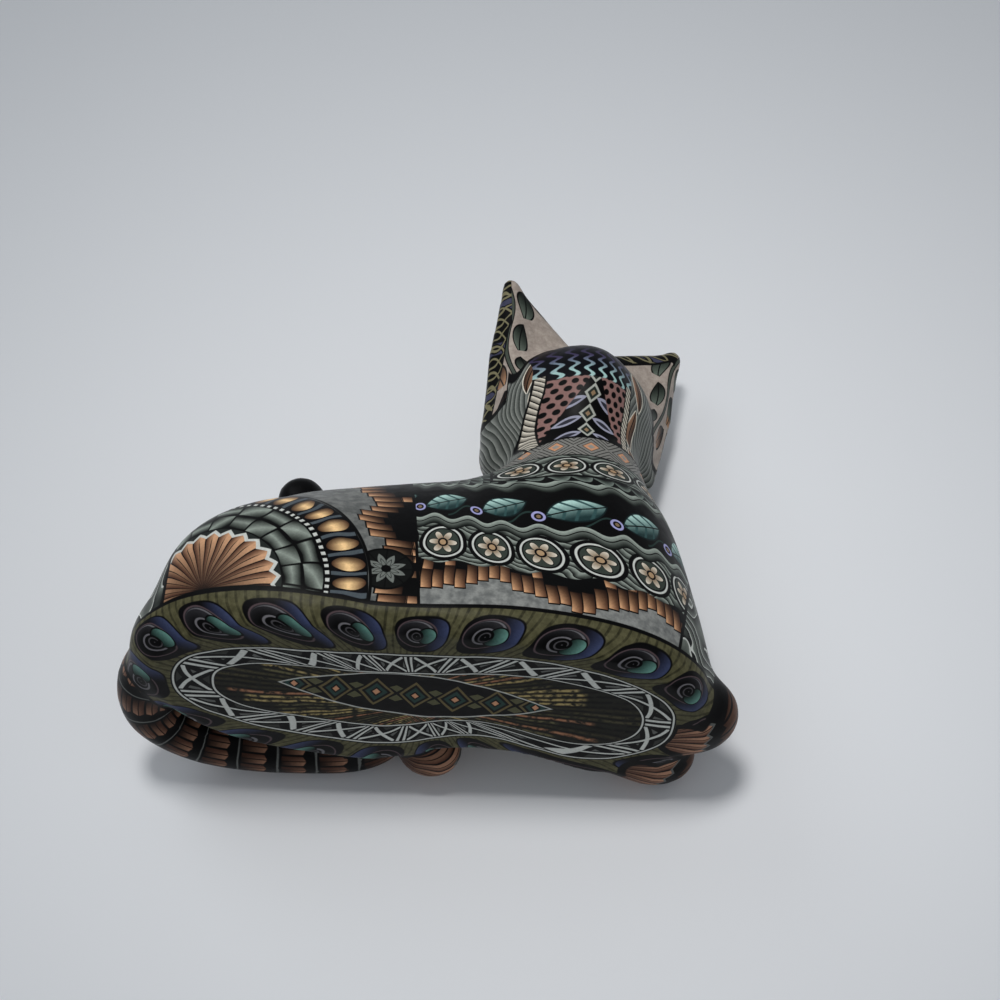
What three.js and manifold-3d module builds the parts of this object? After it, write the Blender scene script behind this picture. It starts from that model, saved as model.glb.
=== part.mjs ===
import * as THREE from "three";
import Module from "manifold-3d";
import { mergeVertices } from "three/addons/utils/BufferGeometryUtils.js";

// A cat figurine of solid polymer clay, lying on an oval underside with its head turned to its left.
// Millimetres. +X is the chest end, +Y the cat's left, +Z up, and the underside lies on z = 0.

// Driving sizes
const BASE_LENGTH = 90.6;
const BASE_WIDTH = 38.4;
const RIM_RADIUS = 5.5;
const BACK_HEIGHT = 43;
const HEAD_WIDTH = 28.5;
const HEAD_HEIGHT = 63.5;
const HEAD_TURN_DEG = 114;
const EAR_TIP_HEIGHT = 85;
const EAR_THICKNESS = 3.8;
const EAR_TIP_THICKNESS = 2.3;
const PAW_LENGTH = 17;
const TAIL_THICKNESS = 9.4;
const TAIL_TIP_THICKNESS = 8.2;

// Fineness of the surface
const GRID_STEP = 1.25;
const TRIANGLE_BUDGET = 9400;

// Places on the body are shares: x of half its length, y of half its width, z of the back's height.
const HALF_LENGTH = BASE_LENGTH / 2;
const HALF_WIDTH = BASE_WIDTH / 2;
const place = (x, y, z) =>
  new THREE.Vector3(x * HALF_LENGTH, y * HALF_WIDTH, z * BACK_HEIGHT);

// Something made for the cat's right side and its left
const pair = (make) => [-1, 1].map(make);

// Soft joint of two distances, with a fillet of about the given size
function blend(a, b, size) {
  const h = Math.max(size - Math.abs(a - b), 0) / size;
  return Math.min(a, b) - (h * h * size) / 4;
}

// Distance to an ellipsoid of half sizes r, in its own frame
function toEllipsoid(x, y, z, r) {
  const near = Math.hypot(x / r.x, y / r.y, z / r.z);
  const slope = Math.hypot(x / (r.x * r.x), y / (r.y * r.y), z / (r.z * r.z));
  return near < 1e-6 ? -Math.min(r.x, r.y, r.z) : (near * (near - 1)) / slope;
}

// An ellipsoid turned about the vertical. Its lower half reaches down by drop.
function ellipsoid(centre, r, turnDeg = 0, drop = r.z) {
  const lower = new THREE.Vector3(r.x, r.y, drop);
  const c = Math.cos(THREE.MathUtils.degToRad(turnDeg));
  const s = Math.sin(THREE.MathUtils.degToRad(turnDeg));
  return (p) => {
    const dx = p.x - centre.x;
    const dy = p.y - centre.y;
    const dz = p.z - centre.z;
    return toEllipsoid(dx * c + dy * s, dy * c - dx * s, dz, dz < 0 ? lower : r);
  };
}

// A round cone from one ball to another
function roundCone(from, to, startRadius, endRadius) {
  const axis = to.clone().sub(from);
  const reach = axis.lengthSq();
  const away = new THREE.Vector3();
  return (p) => {
    away.copy(p).sub(from);
    const t = THREE.MathUtils.clamp(away.dot(axis) / reach, 0, 1);
    away.addScaledVector(axis, -t);
    return away.length() - THREE.MathUtils.lerp(startRadius, endRadius, t);
  };
}

// The oval foot: an outline a little squarer than an ellipse, with a rounded rim. It reaches a little
// below z = 0, where a straight cut gives the flat underside. A power of 2 would be an ellipse, and
// the left side swells a little more than the right. What hangs lower ends at the sawn depth.
// Each side has a waist: its depth as a share of half the width, its place and its reach as shares of
// half the length.
const CUT_DEPTH = 0.25;
const SAWN_DEPTH = 1;
const OUTLINE_POWER = 2.3;
const LEFT_BULGE = 0.06;
const LEFT_WAIST = { depth: 0.4, at: 0.26, reach: 0.3 };
const RIGHT_WAIST = { depth: 0.08, at: -0.05, reach: 0.3 };
const waistAt = (x, { depth, at, reach }) =>
  depth * Math.exp(-(((x / HALF_LENGTH - at) / reach) ** 2));
function toOutline(x, y) {
  const left = 1 + LEFT_BULGE - waistAt(x, LEFT_WAIST);
  const right = 1 - LEFT_BULGE / 2 - waistAt(x, RIGHT_WAIST);
  const side = HALF_WIDTH * (y > 0 ? left : right);
  const u = Math.abs(x / HALF_LENGTH);
  const v = Math.abs(y / side);
  const g = Math.pow(u ** OUTLINE_POWER + v ** OUTLINE_POWER, 1 / OUTLINE_POWER);
  if (g < 1e-6) return -side;
  const gx = (u / g) ** (OUTLINE_POWER - 1) / HALF_LENGTH;
  const gy = (v / g) ** (OUTLINE_POWER - 1) / side;
  return (g - 1) / Math.hypot(gx, gy);
}
function foot(p) {
  const out = toOutline(p.x, p.y) + RIM_RADIUS;
  const down = ((RIM_RADIUS - p.z) * RIM_RADIUS) / (RIM_RADIUS + CUT_DEPTH);
  const up = Math.max(p.z - RIM_RADIUS, down);
  return out > 0 ? Math.hypot(out, up) - RIM_RADIUS : up - RIM_RADIUS;
}

// Trunk: rump and back spring from the middle of the rim, with the chest and the haunches on them
const springing = (x) => new THREE.Vector3(x * HALF_LENGTH, 0, RIM_RADIUS);
const rump = ellipsoid(
  springing(-0.235),
  new THREE.Vector3(0.755 * HALF_LENGTH, 0.965 * HALF_WIDTH, 0.775 * BACK_HEIGHT),
  0,
  RIM_RADIUS,
);
const back = ellipsoid(
  springing(0.26),
  new THREE.Vector3(0.69 * HALF_LENGTH, 0.97 * HALF_WIDTH, 0.895 * BACK_HEIGHT),
  0,
  RIM_RADIUS,
);
const chest = ellipsoid(
  place(0.63, 0, 0.37),
  new THREE.Vector3(0.35 * HALF_LENGTH, 0.8 * HALF_WIDTH, 0.46 * BACK_HEIGHT),
);
const haunches = pair((side) =>
  ellipsoid(
    place(-0.46, 0.42 * side, 0.3),
    new THREE.Vector3(0.46 * HALF_LENGTH, 0.6 * HALF_WIDTH, 0.38 * BACK_HEIGHT),
  ),
);

// The left side is hollowed above the waist
const hollow = ellipsoid(
  place(0.3, 1.3, 0.06),
  new THREE.Vector3(0.4 * HALF_LENGTH, 0.64 * HALF_WIDTH, 0.3 * BACK_HEIGHT),
);

// Head frame: face points where the cat looks, left is its own left, up is vertical
const turn = THREE.MathUtils.degToRad(HEAD_TURN_DEG);
const facing = new THREE.Vector3(Math.cos(turn), Math.sin(turn), 0);
const leftward = new THREE.Vector3(-Math.sin(turn), Math.cos(turn), 0);
const HEAD_HALF = HEAD_WIDTH / 2;
const headCentre = place(0.5, 0.1, 0);
headCentre.z = HEAD_HEIGHT;
const EAR_RISE = (EAR_TIP_HEIGHT - HEAD_HEIGHT) / HEAD_HALF;

// A point of the head frame, in shares of half the head's width
const onHead = (face, left, up) =>
  headCentre
    .clone()
    .addScaledVector(facing, face * HEAD_HALF)
    .addScaledVector(leftward, left * HEAD_HALF)
    .add(new THREE.Vector3(0, 0, up * HEAD_HALF));
const headPart = (face, left, up, deep, wide, high) =>
  ellipsoid(
    onHead(face, left, up),
    new THREE.Vector3(deep, wide, high).multiplyScalar(HEAD_HALF),
    HEAD_TURN_DEG,
  );

const neck = roundCone(
  place(0.56, 0, 0.84),
  onHead(-0.12, 0, -0.4),
  0.64 * HALF_WIDTH,
  0.68 * HEAD_HALF,
);
const skull = headPart(0, 0, 0, 0.98, 0.98, 0.86);
const crown = headPart(-0.28, 0.13, -0.02, 0.82, 0.56, 0.73);
const cheeks = pair((side) => headPart(0.42, 0.48 * side, -0.5, 0.5, 0.5, 0.46));
const muzzle = headPart(0.74, 0, -0.36, 0.4, 0.44, 0.32);
const pads = pair((side) => headPart(0.96, 0.16 * side, -0.4, 0.2, 0.2, 0.17));
const nose = headPart(1.1, 0, -0.2, 0.12, 0.13, 0.09);
const chin = headPart(0.9, 0, -0.62, 0.2, 0.19, 0.14);
const brow = headPart(0.58, 0, 0.26, 0.34, 0.62, 0.32);
const eyes = pair((side) => headPart(0.8, 0.38 * side, 0.08, 0.16, 0.19, 0.15));

// An ear is two leaves that meet in a ridge down its back, thinner towards the tip, with the outer
// edge bowed. Its corners are places on the head: face, left, up.
function ear(tip, inner, ridge, outer, bow) {
  const innerLeaf = new THREE.Triangle(tip, inner, ridge);
  const outerLeaf = new THREE.Triangle(tip, ridge, outer);
  const bowed = new THREE.Triangle(tip, outer, bow);
  const length = tip.distanceTo(ridge);
  const nearest = new THREE.Vector3();
  const toLeaf = (leaf, p) => {
    leaf.closestPointToPoint(p, nearest);
    const fromTip = Math.min(nearest.distanceTo(tip) / length, 1);
    const thickness = THREE.MathUtils.lerp(EAR_TIP_THICKNESS, EAR_THICKNESS, fromTip);
    return nearest.distanceTo(p) - thickness / 2;
  };
  return (p) => {
    const outside = Math.min(toLeaf(outerLeaf, p), toLeaf(bowed, p));
    return blend(toLeaf(innerLeaf, p), outside, EAR_THICKNESS / 2);
  };
}
const ears = [
  ear(
    onHead(-0.28, 1.12, EAR_RISE),
    onHead(-0.21, 0.29, 0.88),
    onHead(-0.02, 0.74, -0.5),
    onHead(0.38, 0.9, -0.28),
    onHead(0.02, 1.09, 0.66),
  ),
  ear(
    onHead(-0.37, -1.19, 0.9 * EAR_RISE),
    onHead(-0.33, -0.16, 0.8),
    onHead(-0.26, -0.75, -0.4),
    onHead(0.02, -1.06, -0.44),
    onHead(-0.18, -1.19, 0.5),
  ),
];

// Paws are pads pushed out from under the chest and the left haunch
const pawHalf = PAW_LENGTH / 2;
const pawShape = (long, wide, high) =>
  new THREE.Vector3(long, wide, high).multiplyScalar(pawHalf);
const paws = [
  ellipsoid(place(0.975, 0.22, 0.135), pawShape(1, 0.94, 0.72), 6),
  ellipsoid(place(0.86, 0.78, 0.13), pawShape(1, 0.78, 0.68), 24),
  ellipsoid(place(0.07, 1.02, 0.108), pawShape(0.66, 0.58, 0.6), 20),
];
const forelegs = [
  roundCone(place(0.74, -0.36, 0.42), place(0.92, 0.06, 0.15), 0.8 * pawHalf, 0.66 * pawHalf),
  roundCone(place(0.62, 0.5, 0.4), place(0.78, 0.68, 0.15), 0.8 * pawHalf, 0.62 * pawHalf),
];

// The tail lies along the left flank, then climbs the left haunch so that its tip rests on the back
const tailRun = new THREE.CatmullRomCurve3([
  place(-0.8, -0.02, 0.15),
  place(-0.955, 0.36, 0.136),
  place(-0.95, 0.92, 0.132),
  place(-0.77, 1.25, 0.13),
  place(-0.42, 1.3, 0.134),
  place(-0.14, 1.23, 0.18),
  place(-0.03, 1.12, 0.36),
  place(-0.12, 0.98, 0.57),
  place(-0.28, 0.68, 0.785),
  place(-0.495, 0.08, 0.918),
]);
const TAIL_STEPS = 72;
const tailPoints = tailRun.getPoints(TAIL_STEPS);
const tailRadius = (t) =>
  0.5 * THREE.MathUtils.lerp(TAIL_THICKNESS, TAIL_TIP_THICKNESS, THREE.MathUtils.smoothstep(t, 0.3, 1));
const tailLinks = tailPoints
  .slice(1)
  .map((end, i) =>
    roundCone(tailPoints[i], end, tailRadius(i / TAIL_STEPS), tailRadius((i + 1) / TAIL_STEPS)),
  );
const tail = (p) => tailLinks.reduce((least, link) => Math.min(least, link(p)), Infinity);

// Fillets between the forms
const FOOT_FILLET = 5;
const BODY_FILLET = 9;
const HAUNCH_FILLET = 4;
const HOLLOW_FILLET = 4;
const NECK_FILLET = 13;
const FACE_FILLET = 4;
const CHIN_FILLET = 1.5;
const CROWN_FILLET = 2.5;
const PAD_FILLET = 1;
const EYE_FILLET = 0.8;
const EAR_FILLET = 2.4;
const LEG_FILLET = 3;
const PAW_FILLET = 2.2;
const TAIL_FILLET = 2;

// Signed distance to the whole figurine, negative inside
function figurine(p) {
  let d = blend(foot(p), rump(p), FOOT_FILLET);
  d = blend(d, back(p), BODY_FILLET);
  d = blend(d, chest(p), BODY_FILLET);
  for (const haunch of haunches) d = blend(d, haunch(p), HAUNCH_FILLET);
  d = -blend(-d, hollow(p), HOLLOW_FILLET);
  d = blend(d, neck(p), NECK_FILLET);
  let head = blend(skull(p), brow(p), FACE_FILLET);
  head = blend(head, crown(p), CROWN_FILLET);
  for (const cheek of cheeks) head = blend(head, cheek(p), FACE_FILLET);
  head = blend(head, muzzle(p), FACE_FILLET);
  head = blend(head, chin(p), CHIN_FILLET);
  for (const pad of pads) head = blend(head, pad(p), PAD_FILLET);
  head = blend(head, nose(p), PAD_FILLET);
  for (const eye of eyes) head = blend(head, eye(p), EYE_FILLET);
  d = blend(d, head, FACE_FILLET);
  for (const side of ears) d = blend(d, side(p), EAR_FILLET);
  for (const leg of forelegs) d = blend(d, leg(p), LEG_FILLET);
  for (const paw of paws) d = blend(d, paw(p), PAW_FILLET);
  d = blend(d, tail(p), TAIL_FILLET);
  return Math.max(d, -p.z - SAWN_DEPTH);
}

// Where two corners that face each other across a grid square are inside and the other two outside,
// the one nearest the surface changes side, so that no two sheets of the surface share an edge.
function parted(value, [nx, ny, nz], index) {
  const steps = [1, nx, nx * ny];
  for (let changed = true; changed; ) {
    changed = false;
    for (let k = 0; k < nz - 1; k++)
      for (let j = 0; j < ny - 1; j++)
        for (let i = 0; i < nx - 1; i++)
          for (const [a, b] of [[0, 1], [1, 2], [0, 2]]) {
            const at = index(i, j, k);
            const square = [at, at + steps[a], at + steps[a] + steps[b], at + steps[b]];
            const inside = square.map((n) => value[n] < 0);
            if (inside[0] !== inside[2] || inside[1] !== inside[3] || inside[0] === inside[1]) continue;
            const nearest = square.reduce((m, n) => (Math.abs(value[n]) < Math.abs(value[m]) ? n : m));
            value[nearest] *= -1;
            changed = true;
          }
  }
}

// Surface nets: one point in each grid cell that the surface crosses, joined across the grid's edges
function polygonise(field, box, step) {
  const size = box.getSize(new THREE.Vector3()).divideScalar(step);
  const [nx, ny, nz] = [size.x, size.y, size.z].map((n) => Math.ceil(n) + 1);
  const index = (i, j, k) => i + nx * (j + ny * k);
  const corner = (i, j, k) => new THREE.Vector3(i, j, k).multiplyScalar(step).add(box.min);
  const value = new Float64Array(nx * ny * nz);
  for (let k = 0; k < nz; k++)
    for (let j = 0; j < ny; j++)
      for (let i = 0; i < nx; i++) value[index(i, j, k)] = field(corner(i, j, k));
  parted(value, [nx, ny, nz], index);
  const points = [];
  const cellPoint = new Map();
  const corners = [0, 1, 2, 3, 4, 5, 6, 7].map((c) => [c & 1, (c >> 1) & 1, (c >> 2) & 1]);
  const edges = [];
  for (let a = 0; a < 8; a++)
    for (const bit of [1, 2, 4])
      if (!(a & bit)) edges.push([a, a | bit]);
  for (let k = 0; k < nz - 1; k++)
    for (let j = 0; j < ny - 1; j++)
      for (let i = 0; i < nx - 1; i++) {
        const v = corners.map(([x, y, z]) => value[index(i + x, j + y, k + z)]);
        const crossed = edges.filter(([a, b]) => v[a] < 0 !== v[b] < 0);
        if (!crossed.length) continue;
        const sum = new THREE.Vector3();
        for (const [a, b] of crossed) {
          const from = corner(i + corners[a][0], j + corners[a][1], k + corners[a][2]);
          const to = corner(i + corners[b][0], j + corners[b][1], k + corners[b][2]);
          sum.add(from.lerp(to, v[a] / (v[a] - v[b])));
        }
        cellPoint.set(index(i, j, k), points.length);
        points.push(sum.divideScalar(crossed.length));
      }
  const triangles = [];
  const around = [
    [[0, 0, 0], [0, -1, 0], [0, -1, -1], [0, 0, -1]],
    [[0, 0, 0], [0, 0, -1], [-1, 0, -1], [-1, 0, 0]],
    [[0, 0, 0], [-1, 0, 0], [-1, -1, 0], [0, -1, 0]],
  ];
  for (let k = 1; k < nz - 1; k++)
    for (let j = 1; j < ny - 1; j++)
      for (let i = 1; i < nx - 1; i++)
        around.forEach((cells, axis) => {
          const here = value[index(i, j, k)];
          const next = value[index(i + (axis === 0), j + (axis === 1), k + (axis === 2))];
          if (here < 0 === next < 0) return;
          const q = cells.map(([x, y, z]) => cellPoint.get(index(i + x, j + y, k + z)));
          if (here < 0) q.reverse();
          const across = points[q[0]].distanceTo(points[q[2]]) < points[q[1]].distanceTo(points[q[3]]);
          if (across) triangles.push([q[0], q[2], q[1]], [q[0], q[3], q[2]]);
          else triangles.push([q[0], q[3], q[1]], [q[1], q[3], q[2]]);
        });
  return { points, triangles };
}

// Moves each point onto the surface along the field's slope
function settle(points, field) {
  const reach = 0.05;
  const farthest = 0.3;
  const near = new THREE.Vector3();
  const slope = new THREE.Vector3();
  for (const p of points)
    for (let pass = 0; pass < 3; pass++) {
      const d = field(p);
      for (const axis of ["x", "y", "z"]) {
        near.copy(p);
        near[axis] += reach;
        slope[axis] = (field(near) - d) / reach;
      }
      const move = THREE.MathUtils.clamp(d, -farthest, farthest);
      p.addScaledVector(slope, -move / Math.max(slope.lengthSq(), farthest));
    }
}

// A queue that gives back the entry of least cost first
class Queue {
  entries = [];
  push(entry) {
    const list = this.entries;
    let at = list.push(entry) - 1;
    while (at > 0) {
      const parent = (at - 1) >> 1;
      if (list[parent].cost <= list[at].cost) break;
      [list[parent], list[at]] = [list[at], list[parent]];
      at = parent;
    }
  }
  pop() {
    const list = this.entries;
    const first = list[0];
    const last = list.pop();
    if (!list.length) return first;
    list[0] = last;
    for (let at = 0; ; ) {
      let least = at;
      for (const child of [2 * at + 1, 2 * at + 2])
        if (child < list.length && list[child].cost < list[least].cost) least = child;
      if (least === at) return first;
      [list[least], list[at]] = [list[at], list[least]];
      at = least;
    }
  }
}

// Joins neighbouring points where that changes the shape least, until the triangle budget is met
function simplify({ points, triangles }, budget) {
  const LENGTH_WEIGHT = 0.002;
  const quadrics = points.map(() => new Float64Array(10));
  const facesAt = points.map(() => new Set());
  const version = new Uint32Array(points.length);
  const normalOf = ([a, b, c]) =>
    new THREE.Vector3()
      .subVectors(points[b], points[a])
      .cross(new THREE.Vector3().subVectors(points[c], points[a]));
  for (const face of triangles) {
    const normal = normalOf(face);
    const area = normal.length() / 2;
    normal.normalize();
    const plane = [normal.x, normal.y, normal.z, -normal.dot(points[face[0]])];
    for (const corner of face) {
      facesAt[corner].add(face);
      let n = 0;
      for (let r = 0; r < 4; r++)
        for (let c = r; c < 4; c++) quadrics[corner][n++] += area * plane[r] * plane[c];
    }
  }
  const error = (q, p) =>
    q[0] * p.x * p.x + 2 * q[1] * p.x * p.y + 2 * q[2] * p.x * p.z + 2 * q[3] * p.x +
    q[4] * p.y * p.y + 2 * q[5] * p.y * p.z + 2 * q[6] * p.y +
    q[7] * p.z * p.z + 2 * q[8] * p.z + q[9];
  const neighbours = (v) => {
    const found = new Set();
    for (const corner of [...facesAt[v]].flat())
      if (corner !== v) found.add(corner);
    return found;
  };
  const solve = new THREE.Matrix3();
  const joined = (a, b) => {
    const q = quadrics[a].map((value, i) => value + quadrics[b][i]);
    const middle = points[a].clone().lerp(points[b], 0.5);
    const choices = [points[a].clone(), points[b].clone(), middle];
    solve.set(q[0], q[1], q[2], q[1], q[4], q[5], q[2], q[5], q[7]);
    if (Math.abs(solve.determinant()) > 1e-6) {
      const best = new THREE.Vector3(-q[3], -q[6], -q[8]).applyMatrix3(solve.invert());
      if (best.distanceTo(middle) < points[a].distanceTo(points[b])) choices.push(best);
    }
    const length = points[a].distanceToSquared(points[b]);
    return choices
      .map((point) => ({ point, cost: error(q, point) + LENGTH_WEIGHT * length * length }))
      .reduce((least, choice) => (choice.cost < least.cost ? choice : least));
  };
  const queue = new Queue();
  const offer = (a, b) => queue.push({ a, b, va: version[a], vb: version[b], ...joined(a, b) });
  for (let v = 0; v < points.length; v++)
    for (const other of neighbours(v))
      if (v < other) offer(v, other);
  const turnsOver = (v, other, point) => {
    for (const face of facesAt[v]) {
      if (face.includes(other)) continue;
      const before = normalOf(face);
      const kept = points[v];
      points[v] = point;
      const after = normalOf(face);
      points[v] = kept;
      if (before.dot(after) < 0.25 * before.length() * after.length()) return true;
    }
    return false;
  };
  let count = triangles.length;
  const dead = new Set();
  while (count > budget && queue.entries.length) {
    const { a, b, va, vb, point } = queue.pop();
    if (version[a] !== va || version[b] !== vb || dead.has(a) || dead.has(b)) continue;
    const nearB = neighbours(b);
    const shared = [...neighbours(a)].filter((v) => nearB.has(v));
    if (shared.length !== 2 || turnsOver(a, b, point) || turnsOver(b, a, point)) continue;
    points[a] = point;
    quadrics[a] = quadrics[a].map((value, i) => value + quadrics[b][i]);
    for (const face of [...facesAt[b]]) {
      if (face.includes(a)) {
        for (const corner of face) facesAt[corner].delete(face);
        count--;
      } else {
        face[face.indexOf(b)] = a;
        facesAt[a].add(face);
      }
    }
    facesAt[b].clear();
    dead.add(b);
    version[a]++;
    for (const other of neighbours(a)) offer(a, other);
  }
  return new Set(facesAt.flatMap((faces) => [...faces]));
}

function geometryOf(points, faces) {
  const position = [];
  for (const corner of [...faces].flat()) position.push(...points[corner].toArray());
  return new THREE.BufferGeometry().setAttribute(
    "position",
    new THREE.Float32BufferAttribute(position, 3),
  );
}

const wasm = await Module();
wasm.setup();

// A closed three.js geometry as a solid that can be cut
function solidOf(geometry) {
  geometry.deleteAttribute("normal");
  geometry.deleteAttribute("uv");
  const merged = mergeVertices(geometry, 1e-4);
  return new wasm.Manifold(
    new wasm.Mesh({
      numProp: 3,
      vertProperties: merged.attributes.position.array,
      triVerts: new Uint32Array(merged.index.array),
    }),
  );
}

function geometryOfSolid(solid) {
  const { vertProperties, triVerts } = solid.getMesh();
  return new THREE.BufferGeometry()
    .setAttribute("position", new THREE.BufferAttribute(vertProperties, 3))
    .setIndex(new THREE.BufferAttribute(triVerts, 1));
}

const margin = 3 * GRID_STEP;
const bounds = new THREE.Box3(
  new THREE.Vector3(-HALF_LENGTH - TAIL_THICKNESS, -HALF_WIDTH, 0),
  new THREE.Vector3(HALF_LENGTH + pawHalf, HALF_WIDTH + TAIL_THICKNESS, EAR_TIP_HEIGHT),
).expandByScalar(margin);

const skin = polygonise(figurine, bounds, GRID_STEP);
settle(skin.points, figurine);
const faces = simplify(skin, TRIANGLE_BUDGET);
const whole = solidOf(geometryOf(skin.points, faces));
const slab = new THREE.BoxGeometry(3 * BASE_LENGTH, 3 * BASE_LENGTH, 20);
const below = solidOf(slab.translate(0, 0, -10));

const clay = new THREE.MeshStandardMaterial({ color: 0x5d5a4e, roughness: 0.45, metalness: 0 });
const cat = new THREE.Mesh(geometryOfSolid(whole.subtract(below)), clay);
cat.name = "cat_figurine";

const part = new THREE.Group();
part.add(cat);

export default part;
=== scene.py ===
import math

import bpy
import numpy as np
from bpy.props import FloatProperty, FloatVectorProperty, IntProperty, PointerProperty
from mathutils import Matrix, Vector


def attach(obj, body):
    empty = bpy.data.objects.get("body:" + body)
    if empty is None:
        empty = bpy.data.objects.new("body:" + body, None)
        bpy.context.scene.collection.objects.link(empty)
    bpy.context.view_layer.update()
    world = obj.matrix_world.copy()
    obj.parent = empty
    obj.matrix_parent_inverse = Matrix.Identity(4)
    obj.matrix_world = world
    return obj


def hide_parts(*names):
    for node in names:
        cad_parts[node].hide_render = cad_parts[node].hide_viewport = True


bl_info = {
    "name": "Clay cat figurine",
    "version": (1, 0, 0),
    "blender": (4, 5, 0),
    "location": "View3D > Sidebar > Clay cat",
    "description": "A cat figurine covered in slices of patterned clay",
    "category": "Object",
}

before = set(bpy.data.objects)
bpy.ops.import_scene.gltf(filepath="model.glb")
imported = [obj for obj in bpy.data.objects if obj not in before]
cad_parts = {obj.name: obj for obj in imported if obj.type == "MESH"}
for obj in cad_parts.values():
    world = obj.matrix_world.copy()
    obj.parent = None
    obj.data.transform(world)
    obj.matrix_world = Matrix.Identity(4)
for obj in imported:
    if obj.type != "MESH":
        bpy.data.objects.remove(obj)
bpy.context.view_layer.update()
NODE = "cat_figurine"

# Sizes of the modelled cat, in millimetres, as its solid has them
BASE_LENGTH = 90.6
BASE_WIDTH = 38.4
RIM_RADIUS = 5.5
BACK_HEIGHT = 43.0
HEAD_WIDTH = 28.5
HEAD_HEIGHT = 63.5
HEAD_TURN = math.radians(114)
EAR_TIP_HEIGHT = 85.0
TAIL_THICKNESS = 9.4
TAIL_TIP_THICKNESS = 8.2
PAW_LENGTH = 17.0
OUTLINE_POWER = 2.3
LEFT_BULGE = 0.06
# A waist's depth as a share of half the width, its place and reach as shares of half the length
LEFT_WAIST = (0.4, 0.26, 0.3)
RIGHT_WAIST = (0.08, -0.05, 0.3)
MM = 1000.0

HALF_LENGTH = BASE_LENGTH / 2
HALF_WIDTH = BASE_WIDTH / 2
HEAD_HALF = HEAD_WIDTH / 2
FACING = Vector((math.cos(HEAD_TURN), math.sin(HEAD_TURN), 0))
LEFTWARD = Vector((-math.sin(HEAD_TURN), math.cos(HEAD_TURN), 0))
UPWARD = Vector((0, 0, 1))


def place(x, y, z):
    """A place on the body: shares of half its length, half its width and the back's height."""
    return Vector((x * HALF_LENGTH, y * HALF_WIDTH, z * BACK_HEIGHT))


HEAD = place(0.5, 0.1, 0)
HEAD.z = HEAD_HEIGHT
EAR_RISE = (EAR_TIP_HEIGHT - HEAD_HEIGHT) / HEAD_HALF


def on_head(face, left, up):
    """A place on the head, in shares of half its width."""
    return HEAD + HEAD_HALF * (face * FACING + left * LEFTWARD + up * UPWARD)


# An ear's corners: tip, inner foot, foot of its ridge, outer foot, bow of its outer edge
EARS = [
    [on_head(-0.28, 1.12, EAR_RISE), on_head(-0.21, 0.29, 0.88), on_head(-0.02, 0.74, -0.5),
     on_head(0.38, 0.9, -0.28), on_head(0.02, 1.09, 0.66)],
    [on_head(-0.37, -1.19, 0.9 * EAR_RISE), on_head(-0.33, -0.16, 0.8),
     on_head(-0.26, -0.75, -0.4), on_head(0.02, -1.06, -0.44), on_head(-0.18, -1.19, 0.5)],
]
# A paw's middle, its half sizes as shares of half a paw's length, and its turn in degrees
PAWS = [
    (place(0.975, 0.22, 0.135), (1, 0.94, 0.72), 6),
    (place(0.86, 0.78, 0.13), (1, 0.78, 0.68), 24),
    (place(0.07, 1.02, 0.108), (0.66, 0.58, 0.6), 20),
]
TAIL = [
    place(-0.8, -0.02, 0.15), place(-0.955, 0.36, 0.136), place(-0.95, 0.92, 0.132),
    place(-0.77, 1.25, 0.13), place(-0.42, 1.3, 0.134), place(-0.14, 1.23, 0.18),
    place(-0.03, 1.12, 0.36), place(-0.12, 0.98, 0.57), place(-0.28, 0.68, 0.785),
    place(-0.495, 0.08, 0.918),
]


def clay(code):
    """A clay colour from its display code, as Blender's linear red, green, blue."""
    parts = [int(code[i:i + 2], 16) / 255 for i in (0, 2, 4)]
    return tuple(c / 12.92 if c <= 0.04045 else ((c + 0.055) / 1.055) ** 2.4 for c in parts)


# Numbers and colours made by nodes

def operation(kind, swapped=False):
    """A method that puts a number and what it is given through one math node."""
    def method(self, *others):
        return Num.math(kind, *((*others, self) if swapped else (self, *others)))

    return method


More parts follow.
